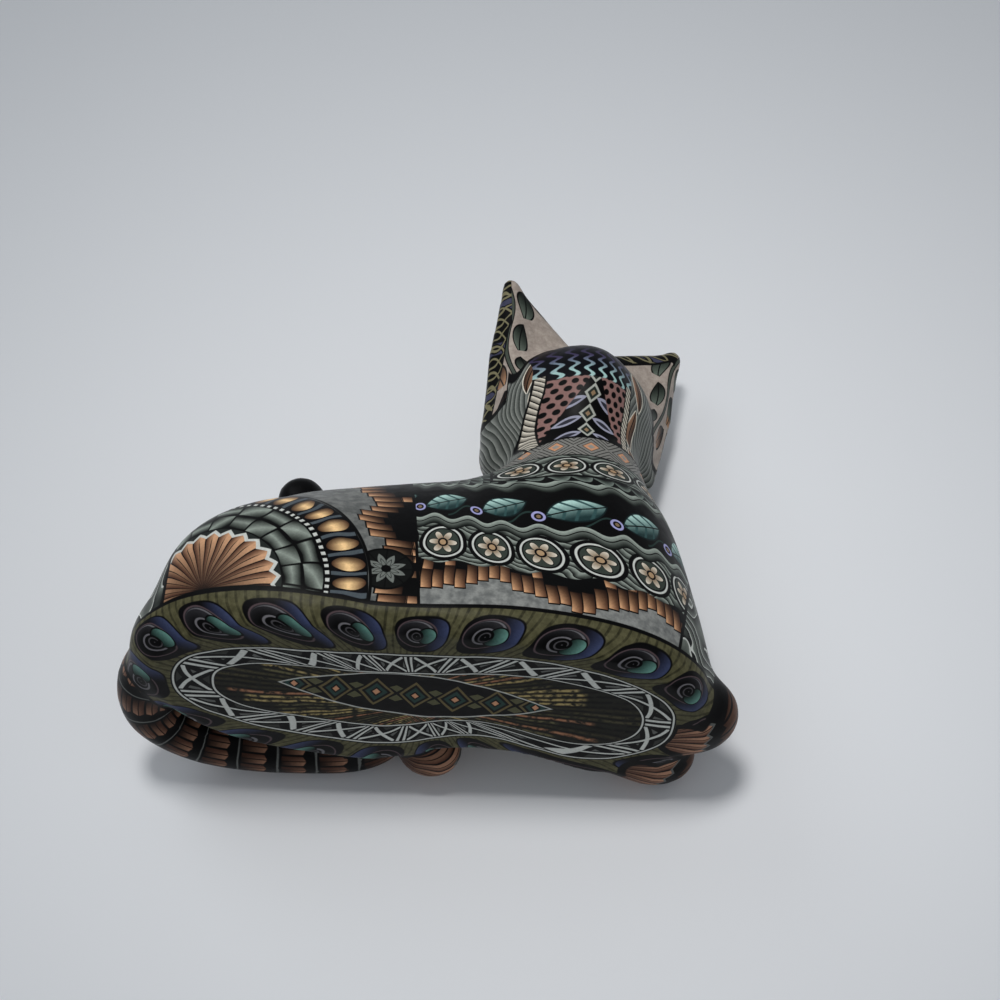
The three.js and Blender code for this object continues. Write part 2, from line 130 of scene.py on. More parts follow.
class Num:
    """A number that shader nodes make, with arithmetic."""

    tree = None

    def __init__(self, socket):
        self.socket = socket

    @staticmethod
    def math(kind, *values):
        node = Num.tree.nodes.new("ShaderNodeMath")
        node.operation = kind
        for socket, value in zip(node.inputs, values):
            if isinstance(value, Num):
                Num.tree.links.new(value.socket, socket)
            else:
                socket.default_value = value
        return Num(node.outputs[0])

    def __neg__(self):
        return self * -1.0

    __add__ = operation("ADD")
    __radd__ = operation("ADD", swapped=True)
    __sub__ = operation("SUBTRACT")
    __rsub__ = operation("SUBTRACT", swapped=True)
    __mul__ = operation("MULTIPLY")
    __rmul__ = operation("MULTIPLY", swapped=True)
    __truediv__ = operation("DIVIDE")
    abs = operation("ABSOLUTE")
    fract = operation("FRACT")
    floor = operation("FLOOR")
    sin = operation("SINE")
    cos = operation("COSINE")
    least = operation("MINIMUM")
    most = operation("MAXIMUM")
    power = operation("POWER")
    angle = operation("ARCTAN2")

    def over(self, edge, soft=0.15):
        """1 where the number is over the edge, 0 where it is under."""
        node = Num.tree.nodes.new("ShaderNodeMapRange")
        node.interpolation_type = "SMOOTHSTEP"
        Num.tree.links.new(self.socket, node.inputs["Value"])
        for name, offset in (("From Min", -soft / 2), ("From Max", soft / 2)):
            if isinstance(edge, Num):
                Num.tree.links.new((edge + offset).socket, node.inputs[name])
            else:
                node.inputs[name].default_value = edge + offset
        return Num(node.outputs[0])

    def under(self, edge, soft=0.15):
        return 1.0 - self.over(edge, soft)

    def within(self, middle, half, soft=0.15):
        """1 where the number is within half of the middle."""
        return (self - middle).abs().under(half, soft)

    def slope(self, start, end):
        """Runs from 0 to 1 between start and end."""
        node = Num.tree.nodes.new("ShaderNodeMapRange")
        Num.tree.links.new(self.socket, node.inputs["Value"])
        node.inputs["From Min"].default_value = start
        node.inputs["From Max"].default_value = end
        return Num(node.outputs[0])

    def cell(self, size, shift=0.0):
        """The place inside a repeat of the given size, from -size/2 to size/2."""
        return ((self / size + shift).fract() - 0.5) * size


def length(a, b):
    return (a * a + b * b).power(0.5)


def attribute(name):
    node = Num.tree.nodes.new("ShaderNodeAttribute")
    node.attribute_name = name
    return Num(node.outputs["Fac"])


def along(position, direction, origin):
    """How far a position lies from the origin in a direction, in millimetres."""
    node = Num.tree.nodes.new("ShaderNodeVectorMath")
    node.operation = "DOT_PRODUCT"
    Num.tree.links.new(position, node.inputs[0])
    node.inputs[1].default_value = Vector(direction) * MM
    return Num(node.outputs["Value"]) - Vector(direction).dot(Vector(origin))


def noise(position, scale, detail=2.0, stretch=(1, 1, 1), start=(0, 0, 0)):
    """Smooth chance variation from 0 to 1, with scale features in a metre."""
    spread = Num.tree.nodes.new("ShaderNodeMapping")
    spread.inputs["Scale"].default_value = stretch
    spread.inputs["Location"].default_value = start
    Num.tree.links.new(position, spread.inputs["Vector"])
    node = Num.tree.nodes.new("ShaderNodeTexNoise")
    node.inputs["Scale"].default_value = scale
    node.inputs["Detail"].default_value = detail
    Num.tree.links.new(spread.outputs[0], node.inputs["Vector"])
    return Num(node.outputs["Fac"])


def wander(position, start, reach=0.9):
    """The small unevenness of slices laid by hand, in millimetres."""
    return (noise(position, 130, 1.0, (1, 1, 1), start) - 0.5) * (2 * reach)


def chance(a, b=0.0):
    """A fixed chance number from 0 to 1 for each pair of whole numbers."""
    return ((a * 12.9898 + b * 78.233).sin() * 43.758).fract()


def mix_numbers(share, first, second):
    """The second number where share is 1, the first where it is 0."""
    return first + (second - first) * share


def mix(share, first, second):
    """The second colour where share is 1, the first where it is 0."""
    node = Num.tree.nodes.new("ShaderNodeMix")
    node.data_type = "RGBA"
    Num.tree.links.new(share.socket, node.inputs["Factor"])
    for name, value in (("A", first), ("B", second)):
        socket = next(s for s in node.inputs if s.name == name and s.type == "RGBA")
        if isinstance(value, tuple):
            socket.default_value = (*value, 1)
        else:
            Num.tree.links.new(value, socket)
    return next(s for s in node.outputs if s.type == "RGBA")


BLACK = clay("16151a")
PALE = clay("a9aca6")
CREAM = clay("b7b0a0")
GREY = clay("6f726e")
ORANGE = clay("c08150")
RUST = clay("7a4322")
BROWN = clay("40241a")
GOLD = clay("a88a4c")
LILAC = clay("8f8fc4")


# Measures taken on the skin's points

def outline_distance(x, y):
    """Distance from the foot's outline, negative inside, as in the solid."""
    def waist(depth, at, reach):
        return depth * np.exp(-(((x / HALF_LENGTH - at) / reach) ** 2))

    left = 1 + LEFT_BULGE - waist(*LEFT_WAIST)
    right = 1 - LEFT_BULGE / 2 - waist(*RIGHT_WAIST)
    side = HALF_WIDTH * np.where(y > 0, left, right)
    u = np.abs(x / HALF_LENGTH)
    v = np.abs(y / side)
    g = np.maximum((u**OUTLINE_POWER + v**OUTLINE_POWER) ** (1 / OUTLINE_POWER), 1e-6)
    gx = (u / g) ** (OUTLINE_POWER - 1) / HALF_LENGTH
    gy = (v / g) ** (OUTLINE_POWER - 1) / side
    return (g - 1) / np.hypot(gx, gy)


def outline_turn(x, y):
    """Where a point lies round the foot: its share of the outline's length, as an angle."""
    angles = np.linspace(-np.pi, np.pi, 1441)
    u = np.abs(np.cos(angles)) ** OUTLINE_POWER
    v = np.abs(np.sin(angles)) ** OUTLINE_POWER
    reach = (u + v) ** (-1 / OUTLINE_POWER)
    px = HALF_LENGTH * reach * np.cos(angles)
    py = HALF_WIDTH * reach * np.sin(angles)
    run = np.concatenate([[0], np.cumsum(np.hypot(np.diff(px), np.diff(py)))])
    own = np.arctan2(y / HALF_WIDTH, x / HALF_LENGTH)
    return (np.interp(own, angles, run) / run[-1] * 2 - 1) * np.pi


def tail_points():
    """Points along the tail's middle line, on a smooth curve through its places."""
    ends = [2 * TAIL[0] - TAIL[1], *TAIL, 2 * TAIL[-1] - TAIL[-2]]
    points = []
    for a, b, c, d in zip(ends, ends[1:], ends[2:], ends[3:]):
        for t in np.linspace(0, 1, 12, endpoint=False):
            points.append(
                0.5 * (2 * b + (c - a) * t + (2 * a - 5 * b + 4 * c - d) * t**2
                       + (3 * b - a - 3 * c + d) * t**3)
            )
    return np.array([*points, TAIL[-1]])


def beside_tail(points):
    """Each point's gap to the tail's skin, its place along the tail, and its angle round it."""
    line = tail_points()
    lengths = np.concatenate([[0], np.cumsum(np.linalg.norm(np.diff(line, axis=0), axis=1))])
    share = np.clip((np.linspace(0, 1, len(line)) - 0.3) / 0.7, 0, 1)
    share = share * share * (3 - 2 * share)
    radius = 0.5 * (TAIL_THICKNESS + (TAIL_TIP_THICKNESS - TAIL_THICKNESS) * share)
    gap = np.full(len(points), 1e3)
    place_along = np.zeros(len(points))
    angle = np.zeros(len(points))
    for i in range(len(line) - 1):
        axis = line[i + 1] - line[i]
        from_start = points - line[i]
        t = np.clip(from_start @ axis / (axis @ axis), 0, 1)
        away = from_start - t[:, None] * axis
        here = np.linalg.norm(away, axis=1) - radius[i]
        closer = here < gap
        gap[closer] = here[closer]
        place_along[closer] = (lengths[i] + t * (lengths[i + 1] - lengths[i]))[closer]
        level = np.cross(axis / np.linalg.norm(axis), [0, 0, 1])
        level /= np.linalg.norm(level)
        rise = np.cross(level, axis / np.linalg.norm(axis))
        angle[closer] = np.arctan2(away @ rise, away @ level)[closer]
    return gap, place_along, angle, lengths[-1]


def beside_ear(points, corners):
    """Each point's gap to the ear, its distance from the ear's two long edges, and from its tip."""
    tip, inner, ridge, outer, bow = (np.array(c) for c in corners)
    gap = np.full(len(points), 1e3)
    for a, b, c in ((tip, inner, ridge), (tip, ridge, outer), (tip, outer, bow)):
        ab, ac, ap = b - a, c - a, points - a
        gram = np.array([[ab @ ab, ab @ ac], [ab @ ac, ac @ ac]])
        share = np.linalg.solve(gram, np.stack([ap @ ab, ap @ ac])).T
        share = np.maximum(share, 0)
        share /= np.maximum(share.sum(axis=1), 1)[:, None]
        near = a + share[:, :1] * ab + share[:, 1:] * ac
        gap = np.minimum(gap, np.linalg.norm(points - near, axis=1))
    edge = np.full(len(points), 1e3)
    for start, end in ((tip, inner), (tip, bow), (bow, outer)):
        t = np.clip((points - start) @ (end - start) / ((end - start) @ (end - start)), 0, 1)
        edge = np.minimum(edge, np.linalg.norm(points - start - t[:, None] * (end - start), axis=1))
    middle = (ridge - tip) / np.linalg.norm(ridge - tip)
    across = (outer - inner) - ((outer - inner) @ middle) * middle
    across /= np.linalg.norm(across)
    return gap, edge, (points - tip) @ middle, (points - tip) @ across


def beside_paw(points, paw):
    centre, shares, turn = paw
    r = np.array(shares) * PAW_LENGTH / 2
    c, s = math.cos(math.radians(turn)), math.sin(math.radians(turn))
    d = points - np.array(centre)
    local = np.stack([d[:, 0] * c + d[:, 1] * s, d[:, 1] * c - d[:, 0] * s, d[:, 2]], axis=1)
    near = np.linalg.norm(local / r, axis=1)
    slope = np.maximum(np.linalg.norm(local / r**2, axis=1), 1e-6)
    return near * (near - 1) / slope, local


def array_of(items, name, each=1, kind=np.float32):
    """What each item of a mesh holds under a name, with the given count of numbers each."""
    values = np.empty(len(items) * each, kind)
    items.foreach_get(name, values)
    return values


def note(mesh, name, values):
    """Keeps a number for each point of the mesh, for the material to read."""
    layer = mesh.attributes.new(name, "FLOAT", "POINT")
    layer.data.foreach_set("value", np.ascontiguousarray(values, np.float32))


# How far the flanks swell beyond the foot's outline, and how far the seam dips at the waist
SIDE_SWELL = 2.4
SEAM_DIP = 1.3


def measure(mesh):
    """Writes the numbers that the clay's patterns follow on to the mesh."""
    points = array_of(mesh.vertices, "co", 3).reshape(-1, 3).astype(float) * MM
    x, y, z = points.T
    outline = outline_distance(x, y)
    drop = np.clip(RIM_RADIUS - z, 0, RIM_RADIUS)
    # from the seam above the rim, over the rim and inwards, wider round the rump
    inward = np.maximum(SIDE_SWELL - outline, 0) * np.clip(drop / 2, 0, 1)
    rump = np.clip(-x / 20, 0, 1)
    across = 0.7 * (RIM_RADIUS - z) + inward - SEAM_DIP * np.exp(-(((x + 4) / 16) ** 2))
    note(mesh, "rim", across / (1 + 0.28 * rump * rump * (3 - 2 * rump)))
    note(mesh, "beyond", outline + RIM_RADIUS - np.sqrt(RIM_RADIUS**2 - drop**2) - SIDE_SWELL)
    turn = outline_turn(x, y)
    note(mesh, "turn_cos", np.cos(turn))
    note(mesh, "turn_sin", np.sin(turn))
    gap, run, angle, _ = beside_tail(points)
    note(mesh, "tail_gap", gap)
    note(mesh, "tail_run", run)
    note(mesh, "tail_cos", np.cos(angle))
    note(mesh, "tail_sin", np.sin(angle))
    paws = [beside_paw(points, paw) for paw in PAWS]
    gaps = np.array([g for g, _ in paws])
    nearest = gaps.argmin(axis=0)
    local = np.array([p for _, p in paws])[nearest, np.arange(len(x))]
    note(mesh, "paw_gap", gaps.min(axis=0))
    note(mesh, "paw_long", local[:, 0])
    note(mesh, "paw_wide", local[:, 1])
    note(mesh, "paw_high", local[:, 2])
    ears = np.array([beside_ear(points, corners) for corners in EARS])
    nearest = ears[:, 0].argmin(axis=0)
    for i, name in enumerate(("ear_gap", "ear_edge", "ear_run", "ear_side")):
        note(mesh, name, ears[nearest, i, np.arange(len(x))])
    return points


TAIL_END = beside_tail(np.zeros((1, 3)))[3]

# The clay's patterns. Sizes in millimetres.

# Length of the foot's outline, and how many ovals and border cells go round it
PERIMETER = 221.0
OVALS = 19
BORDER_CELLS = 19
# Distances inwards from the seam over the rim
OVAL_MIDDLE = 5.2
BORDER_START = 9.7
BORDER_MIDDLE = 12.5
BORDER_END = 15.2
# Heights of the rows up the body
BRICK_BOTTOM = 5.2
ROUNDEL_ROW = 13.3
ROUNDEL_MIDDLE = 17.9
ROUNDEL_RADIUS = 4.0
LEAF_ROW = 22.9
LEAF_MIDDLE = 28.8
WAVE_MIDDLES = (23.1, 35.0)
SCALE_ROW = 36.3
NAPE_ROUNDEL_MIDDLE = 39.3
NAPE_ROUNDEL_RADIUS = 2.75
NAPE_BAND = 42.6
NAPE_GEM_MIDDLE = 45.6
# Radii of the fan and the rings on a haunch
FAN_RADIUS = 11.6
BASKET_START = 12.3
DOTS_START = 18.6
DOTS_MIDDLE = 19.2
BEADS_START = 19.8
BEADS_MIDDLE = 22.5
BEADS_END = 25.1
HAUNCH_END = 25.6
# Half the gap between the ropes down the back of the head
ROPE_REACH = 7.15


def around_body():
    """The place round the body, in millimetres along the foot's outline."""
    return attribute("turn_sin").angle(attribute("turn_cos")) * (PERIMETER / (2 * math.pi))


def rim_pattern(p):
    """Olive band with ringed ovals, a border of crossed cells, and reeds in the middle."""
    s = attribute("rim") + wander(p, (0, 0, 0), 0.4)
    turn = around_body() + wander(p, (1, 0, 0), 0.8)
    grain = noise(p, 900)
    size = PERIMETER / OVALS
    kind = chance((turn / size + 0.25).floor())
    u = turn.cell(size, 0.25)
    v = s - OVAL_MIDDLE
    edge = ((u.abs() / 4.7).power(3.0) + (v.abs() / 3.9).power(3.0)).power(1 / 3)
    a = v.angle(u)
    inner = length((u + 0.85) / 4.3, (v + 0.2 + kind * 0.3) / 3.7)
    light = (a + inner * 3.5 + kind).sin() * 0.5 + 0.5
    band = mix(grain.over(0.5, 0.5), clay("716d47"), clay("625f3b"))
    band = mix((turn * 4.0 + s).sin().over(0.6, 0.5) * grain, band, clay("3f3d24"))
    band = mix(edge.under(1.03, 0.05), band, BLACK)
    band = mix(edge.under(0.97, 0.04), band, mix(u.slope(0.5, 4.2), clay("221c26"), clay("46568a")))
    band = mix(inner.under(0.84, 0.05), band, clay("6f5a5f"))
    band = mix(inner.under(0.78, 0.05), band, mix(light, clay("111114"), clay("47464c")))
    spiral = (a / (2 * math.pi) + inner * 2.4).fract()
    band = mix(spiral.within(0.5, 0.1, 0.1) * inner.under(0.74, 0.05), band, clay("77757a"))
    glint = length((u - 1.0) / 1.7, v / 1.9)
    band = mix(glint.under(1.06, 0.08), band, BLACK)
    sea = mix(u.slope(-0.4, 2.6), clay("173029"), clay("5b9488"))
    band = mix(glint.under(0.94, 0.08), band, sea)
    pupil = length(u + 0.75, v + 0.1)
    band = mix(pupil.under(1.25, 0.1), band, BLACK)
    coil = (a / (2 * math.pi) + pupil * 1.1).fract().within(0.5, 0.14, 0.1)
    band = mix(coil * pupil.under(1.15, 0.1), band, clay("5e5c60"))
    # border of crossed cells between bars
    w = (s - BORDER_MIDDLE).abs() / 2.1
    cell = PERIMETER / BORDER_CELLS
    t = turn.cell(cell).abs() * 2 / cell
    side_wedge = t * 1.25 - w
    streaks = (turn * 2.6 + s * 1.5).sin().over(0.2, 0.5)
    border = mix(side_wedge.over(0.42, 0.06), BLACK, mix(streaks, BLACK, GREY))
    border = mix(side_wedge.abs().under(0.15, 0.06), border, PALE)
    border = mix(side_wedge.under(-0.55, 0.06), border, clay("4f524c"))
    border = mix(t.over(0.72, 0.04), border, BLACK)
    border = mix(t.over(0.8, 0.04), border, PALE)
    border = mix(t.over(0.93, 0.04), border, BLACK)
    border = mix(w.over(0.97, 0.05), border, BLACK)
    border = mix(w.within(1.16, 0.07, 0.05), border, PALE)
    ground = mix(s.over(BORDER_START, 0.12), band, border)
    # reeds that spread to both ends
    x = along(p, (1, 0, 0), (0, 0, 0)) + wander(p, (0, 1, 0), 0.6)
    y = along(p, (0, 1, 0), (0, 0, 0)) + wander(p, (0, 0, 1), 0.6)
    spread = y.angle(x.abs() + 6.0) * 25.0
    kind = chance(spread.floor(), x.over(0, 0.01))
    reed = spread.fract() - 0.5
    tip = (x.abs() - 16.0 - kind * 14.0)
    straw = mix(kind, clay("4f4a2e"), clay("938a54"))
    straw = mix(kind.over(0.6, 0.02), straw, clay("ab944f"))
    straw = mix(kind.over(0.82, 0.02), straw, clay("b3713f"))
    straw = mix(tip.over(0, 1.5) * kind.over(0.3, 0.02), straw, clay("3c3d2e"))
    straw = mix(reed.abs().slope(0.05, 0.5), straw, clay("26241a"))
    straw = mix(reed.abs().over(0.4, 0.12), straw, BLACK)
    straw = mix(grain.over(0.55, 0.3), straw, clay("3b3a2c"))
    y = y + 1.2
    lens = 1.0 - (x / 22) * (x / 22) - y.abs() / 5.6
    k = x.cell(6.4, 0.5)
    gem = k.abs() / 2.8 + y.abs() / 3.6
    middle = mix(gem.under(1.0, 0.08), BLACK, clay("7a6a3a"))
    middle = mix(gem.under(0.8, 0.08), middle, BLACK)
    middle = mix(gem.under(0.62, 0.08), middle, clay("2f5c54"))
    middle = mix(gem.under(0.34, 0.08), middle, BLACK)
    middle = mix(gem.under(0.22, 0.08), middle, ORANGE)
    leaf = 1.0 - (k.abs() - 3.2).abs() / 1.2 - (y.abs() - 1.9 + k.abs() * 0.2).abs() / 0.9
    middle = mix(leaf.over(0, 0.1), middle, clay("6b6a45"))
    inside = mix(lens.over(0.0, 0.05), straw, PALE)
    inside = mix(lens.over(0.05, 0.05), inside, middle)
    return mix(s.over(BORDER_END, 0.12), ground, inside)


def rosette(r, a, petals, reach):
    """A flower of pale petals on green-grey, in a pale ring on a black disc."""
    row = mix(r.under(reach * 0.84, 0.12), BLACK, PALE)
    row = mix(r.under(reach * 0.75, 0.12), row, BLACK)
    row = mix(r.under(reach * 0.68, 0.12), row, clay("4d5a50"))
    petal = (a * (petals / 2)).cos().abs() * (reach * 0.4) + reach * 0.2
    row = mix((petal - r).over(-0.12, 0.1), row, BLACK)
    pale = mix(r.slope(0.6, reach * 0.6), clay("8f7350"), CREAM)
    row = mix((petal - r).over(0.05, 0.1), row, pale)
    row = mix(r.under(reach * 0.22, 0.1), row, BLACK)
    return mix(r.under(reach * 0.14, 0.1), row, clay("a9865a"))


def ripple_ground(p, along_row, height):
    """Green-grey clay marbled in long waves."""
    sway = (along_row * 0.75).sin() * 1.3 + noise(p, 240, 2.0) * 5.0
    lane = (height * 0.75 + sway * 0.5).fract()
    ground = mix(lane.slope(0, 0.9), clay("333b36"), clay("8f998f"))
    return mix(lane.over(0.9, 0.08), ground, BLACK)


def skyline(rise, column, across, bricks, shades, ground):
    """A brick at the foot of each column, on some columns another, with ground below.

    rise: the height in the column. across: runs from 0 to 1 over the column's width, and
    then its gap. bricks: length of the first brick and of both, and how many have one.
    """
    first, both, bare = bricks
    second = rise.over(first, 0.1) * chance(column, 5.0).over(bare, 0.01) * rise.under(both, 0.1)
    share = mix_numbers(second, rise / first, (rise - first - 0.1) / (both - first - 0.1))
    shadow, gap = across
    brick = mix(shadow, mix(share, *shades), mix(share, RUST, BROWN))
    brick = mix(gap.most((share - 0.5).abs().over(0.47, 0.03)), brick, BLACK)
    ground = mix(rise.over(-0.15, 0.1), ground, BLACK)
    return mix(rise.within(first / 2, first / 2, 0.1).most(second), ground, brick)


def flank_pattern(p):
    """Rows round the body: stepped bricks, rosettes, leaves, waves and scales."""
    z = along(p, (0, 0, 1), (0, 0, 0)) + wander(p, (0, 0, 2), 0.45)
    turn = around_body() + wander(p, (2, 0, 0), 0.6)
    grain = noise(p, 700)
    # upright bricks in a ragged skyline, some with another above
    wide = 1.7
    column = (turn / wide).floor()
    zig = (((column * wide) / 23).fract() - 0.5).abs() * 2.0
    up = z - (zig * 4.4) - (chance(column) * 1.5) - BRICK_BOTTOM
    side = turn.cell(wide)
    across = side.slope(-0.6, 0.85), side.abs().over(0.76, 0.08)
    stone = mix(grain.over(0.5, 0.4), clay("757876"), clay("8a8c88"))
    shades = clay("cc9259"), clay("5c3519")
    rows = skyline(up, column, across, (4.2, 7.0, 0.72), shades, stone)
    # rosettes on marbled ground
    u = turn.cell(PERIMETER / 27)
    v = z - ROUNDEL_MIDDLE
    row = ripple_ground(p, turn, z)
    r = length(u, v * 0.92)
    row = mix(r.under(ROUNDEL_RADIUS, 0.12), row, rosette(r, v.angle(u), 6, ROUNDEL_RADIUS))
    rows = mix((z + (turn * 0.9).sin() * 0.4).over(ROUNDEL_ROW, 0.15), rows, row)
    # leaves on black
    size = PERIMETER / 20
    u = turn.cell(size, 0.25)
    v = z - LEAF_MIDDLE
    lean = u * 0.93 + v * 0.37
    rise = v * 0.93 - u * 0.37
    leaf = 1.0 - (lean / 4.9) * (lean / 4.9) - rise.abs() / 2.7
    green = mix(rise.slope(-1.6, 2.0), clay("2a5657"), clay("8fb4ac"))
    green = mix((lean * 2.8 + rise.abs() * 2.2).sin().over(0.7, 0.5), green, clay("3a6a6a"))
    green = mix(rise.within(0, 0.12, 0.1), green, BLACK)
    green = mix(leaf.under(0.12, 0.08), green, clay("1d3f42"))
    sprig = turn.cell(size, 0.75)
    stem = (v + 1.4 - sprig * 0.3 + (sprig * 0.9).sin() * 0.9).abs()
    row = mix(stem.under(0.22, 0.15), BLACK, clay("34554f"))
    row = mix(leaf.over(0, 0.06), row, green)
    bud = length(sprig, v + 1.9)
    row = mix(bud.under(1.3, 0.12), row, BLACK)
    row = mix(bud.within(0.95, 0.22, 0.15), row, LILAC)
    row = mix(bud.under(0.4, 0.15), row, clay("8f7350"))
    rows = mix(z.over(LEAF_ROW, 0.15), rows, row)
    # waves above and below the leaves
    swing = (turn * 1.0).sin() * 0.7
    for level in WAVE_MIDDLES:
        near = z - level - swing
        rows = mix(near.abs().under(1.5, 0.12), rows, BLACK)
        wave = mix(near.slope(-1.2, 1.2), clay("2c3630"), clay("8f9a90"))
        rows = mix(near.abs().under(1.3, 0.12), rows, wave)
        rows = mix(near.within(0.2, 0.13, 0.1), rows, BLACK)
    # scales over the back
    scale_row = (z - 36.0) / 1.7
    odd = scale_row.floor() * 0.5
    su = turn.cell(3.2, odd)
    arch = (scale_row.fract() - 0.1) - (su / 1.6) * (su / 1.6) * 0.85
    tile = mix(arch.slope(0, 0.9), clay("7c8a80"), clay("26302b"))
    scales = mix(arch.over(0.04, 0.1), BLACK, tile)
    return mix(z.over(SCALE_ROW, 0.15), rows, scales)


def brick_pattern(p):
    """Level bricks in a ragged stack on the loin, grey before it and black behind it."""
    x = along(p, (1, 0, 0), (0, 0, 0)) + wander(p, (3, 0, 0), 0.5)
    z = along(p, (0, 0, 1), (0, 0, 0)) + wander(p, (0, 3, 0), 0.5)
    level = (z / 1.75).floor()
    zig = ((level / 8).fract() - 0.5).abs() * 2.0
    start = x - (-10.5 - (z - 14).most(0.0) * 0.24 + zig * 2.6 + chance(level) * 2.4)
    row = (z / 1.75).fract()
    across = row.slope(0.2, 1.0), (row - 0.5).abs().over(0.42, 0.07)
    stone = mix(noise(p, 700).over(0.5, 0.4), clay("6b6e6c"), clay("7e807c"))
    shades = clay("c8915c"), clay("52301a")
    colour = skyline(start, level, across, (4.4, 8.2, 0.6), shades, stone)
    # a grey star on a disc above the rim
    u = x + 6.6
    v = z - 10.6
    r = length(u, v)
    spoke = ((v.angle(u) * (8 / (2 * math.pi))).fract() - 0.5).abs()
    star = mix((spoke * 3.4 + r).under(3.3, 0.12), clay("2c2f2d"), clay("777d77"))
    star = mix((spoke * 3.4 + r).within(2.2, 0.12, 0.1), star, BLACK)
    star = mix(spoke.over(0.46, 0.04), star, BLACK)
    star = mix(r.under(0.8, 0.1), star, BLACK)
    colour = mix(r.under(4.5, 0.12), colour, BLACK)
    return mix(r.under(4.1, 0.12), colour, star)


# The middle of the right haunch's fan. The left haunch has its mirror image.
HAUNCH = (-33.5, -13.9, 5.5)


def from_haunch(p):
    """How far a place lies forward of, inward from and above the nearer haunch's middle."""
    inward = -along(p, (0, 1, 0), (0, 0, 0)).abs() - HAUNCH[1]
    return along(p, (1, 0, 0), HAUNCH), inward, along(p, (0, 0, 1), HAUNCH)


def haunch_pattern(p):
    """A fan of petals with rings round it."""
    x, y, z = from_haunch(p)
    r = ((x * x + y * y) + z * z).power(0.5) + wander(p, (4, 0, 0), 0.5)
    turns = z.angle(x * 0.9 - y * 0.45) / (2 * math.pi) + wander(p, (0, 4, 0), 0.012)
    # petals
    petal = (turns * 27).fract() - 0.5
    edge = FAN_RADIUS - petal.abs() * 1.9
    warm = mix(r.slope(1, 10.5), clay("43261a"), clay("c08a5a"))
    warm = mix(petal.slope(-0.1, 0.5), warm, clay("6e3a20"))
    warm = mix(petal.within(0, 0.035, 0.05) * r.under(10.0, 2.0), warm, BLACK)
    warm = mix(petal.abs().over(0.455, 0.05), warm, BLACK)
    warm = mix((r + (petal.abs() * 2)).under(3.0, 1.5), warm, BLACK)
    rim = mix((edge - r).over(-0.65, 0.12), clay("3f4743"), PALE)
    # basket weave in rings
    lane = (r - 12.4) / 3.15
    s = turns * 23
    over = (lane.floor() + s.floor()).cell(2.0).over(0, 0.01)
    across = mix_numbers(over, lane.fract() - 0.5, s.fract() - 0.5).abs() * 2
    bend = across - noise(p, 330, 1.0) * 0.5 + 0.25
    strand = mix(bend.slope(-0.1, 0.9), clay("8d988d"), clay("242b27"))
    strand = mix(bend.over(0.8, 0.15), strand, BLACK)
    gap = ((lane.fract() - 0.5).abs()).most((s.fract() - 0.5).abs())
    strand = mix(gap.over(0.455, 0.05), strand, BLACK)
    colour = mix(r.over(BASKET_START, 0.12), rim, strand)
    colour = mix((edge - r).over(0, 0.12), colour, warm)
    # dotted line
    dots = (turns * 96).fract()
    line = mix(dots.over(0.5, 0.2), BLACK, PALE)
    line = mix((r - DOTS_MIDDLE).abs().over(0.34, 0.08), line, BLACK)
    colour = mix(r.over(DOTS_START, 0.12), colour, line)
    # beads
    place_round = ((turns * 36).fract() - 0.5) * 3.9
    bead = length(place_round / 1.35, (r - BEADS_MIDDLE) / 2.6)
    gold = mix((r - BEADS_MIDDLE).abs().slope(0.2, 2.5), clay("d0a765"), clay("6b3d1e"))
    gold = mix(place_round.slope(0.1, 1.4), gold, clay("54301c"))
    beads = mix((r - BEADS_MIDDLE).abs().slope(0, 2.8), clay("23284f"), BLACK)
    beads = mix(place_round.abs().over(1.6, 0.15), beads, clay("5d6a72"))
    beads = mix(bead.under(1.12, 0.06), beads, BLACK)
    beads = mix(bead.under(0.96, 0.06), beads, gold)
    colour = mix(r.over(BEADS_START, 0.12), colour, beads)
    colour = mix(r.over(BEADS_END, 0.12), colour, BLACK)
    return mix(r.over(BEADS_END + 0.2, 0.12), colour, GREY)


def ribbed(share, ray, light):
    """A fan's clay, dark to light with share, and dark along the edges and middles of its rays."""
    warm = mix(share, clay("3c241a"), light)
    warm = mix(ray.slope(-0.1, 0.5), warm, clay("6e3a20"))
    warm = mix(ray.abs().over(0.42, 0.08), warm, BLACK)
    return mix(ray.abs().under(0.04, 0.05), warm, BROWN)


def tail_pattern(p):
    """Segments of orange fans that end in black, with thin pale lines between."""
    run = attribute("tail_run") + wander(p, (5, 0, 0), 0.5)
    angle = attribute("tail_sin").angle(attribute("tail_cos"))
    f = (run / 6.5).fract()
    ray = ((angle * (13 / (2 * math.pi))).fract() - 0.5)
    arc = f + ray.abs() * 0.2
    warm = ribbed(f.slope(0.0, 0.7), ray, clay("a87350"))
    colour = mix(arc.over(0.66, 0.04), warm, BLACK)
    colour = mix(f.within(0.91, 0.025, 0.03), colour, GREY)
    return mix(run.over(TAIL_END - 4.0, 0.3), colour, BLACK)


def paw_pattern(p):
    """Shell fans that spread from the wrist to the toes."""
    u = attribute("paw_long") + wander(p, (6, 0, 0), 0.4)
    v = attribute("paw_wide")
    w = attribute("paw_high")
    r = length(u + 7.5, length(v, w))
    ray = (((v + w * 0.35).angle(u + 8.5) * 5.6).fract() - 0.5)
    shell = r + ray.abs() * 1.3
    warm = ribbed(shell.slope(3, 12), ray, clay("b07a56"))
    colour = mix(shell.over(12.6, 0.1), warm, GREY)
    colour = mix(shell.over(12.9, 0.1), colour, BLACK)
    again = mix((shell - 13.6).slope(0, 2.0), clay("4a2616"), clay("8a5534"))
    again = mix(ray.abs().over(0.4, 0.1), again, BLACK)
    return mix(shell.over(14.3, 0.1), colour, again)


